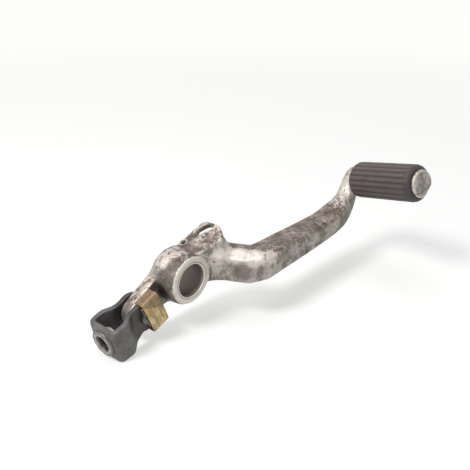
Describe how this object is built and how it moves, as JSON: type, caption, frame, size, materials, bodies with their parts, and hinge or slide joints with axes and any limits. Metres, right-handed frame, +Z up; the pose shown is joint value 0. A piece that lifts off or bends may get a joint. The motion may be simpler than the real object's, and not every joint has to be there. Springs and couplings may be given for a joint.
{
  "type": "foot brake lever",
  "caption": "Foot brake lever with a pivot boss, a bent arm with a ribbed rubber foot peg, a slotted lug and a swinging fork-end clevis for the brake rod.",
  "frame": {"origin": "middle of the pivot bore's length, on its axis", "axes": "+Y along the pivot bore, towards the machine (the foot peg stands out at -Y); +X forward along the arm's straight run; +Z up"},
  "size_m": [0.21, 0.0986, 0.0807],
  "materials": {
    "casting": "cast, worn and stained",
    "bush": "worn bright",
    "rubber": "dusty, ribbed",
    "fork": "black, rubbed and greasy",
    "nut": "dull plated",
    "pin": "dark, oily",
    "clip": "yellow plated, stained"
  },
  "bodies": {
    "lever": {"lever_casting": "casting", "pivot_bush": "bush", "peg_rubber": "rubber"},
    "clevis": {"clevis_fork": "fork", "clevis_nut": "nut", "clevis_pin": "pin", "pin_clip": "clip"}
  },
  "joints": [
    {"name": "clevis_swing", "type": "hinge", "parent": "lever", "child": "clevis", "pos_m": [-0.02876, 0.006, -0.01403], "axis": [0, 1, 0], "range_deg": [-100, 100]}
  ]
}
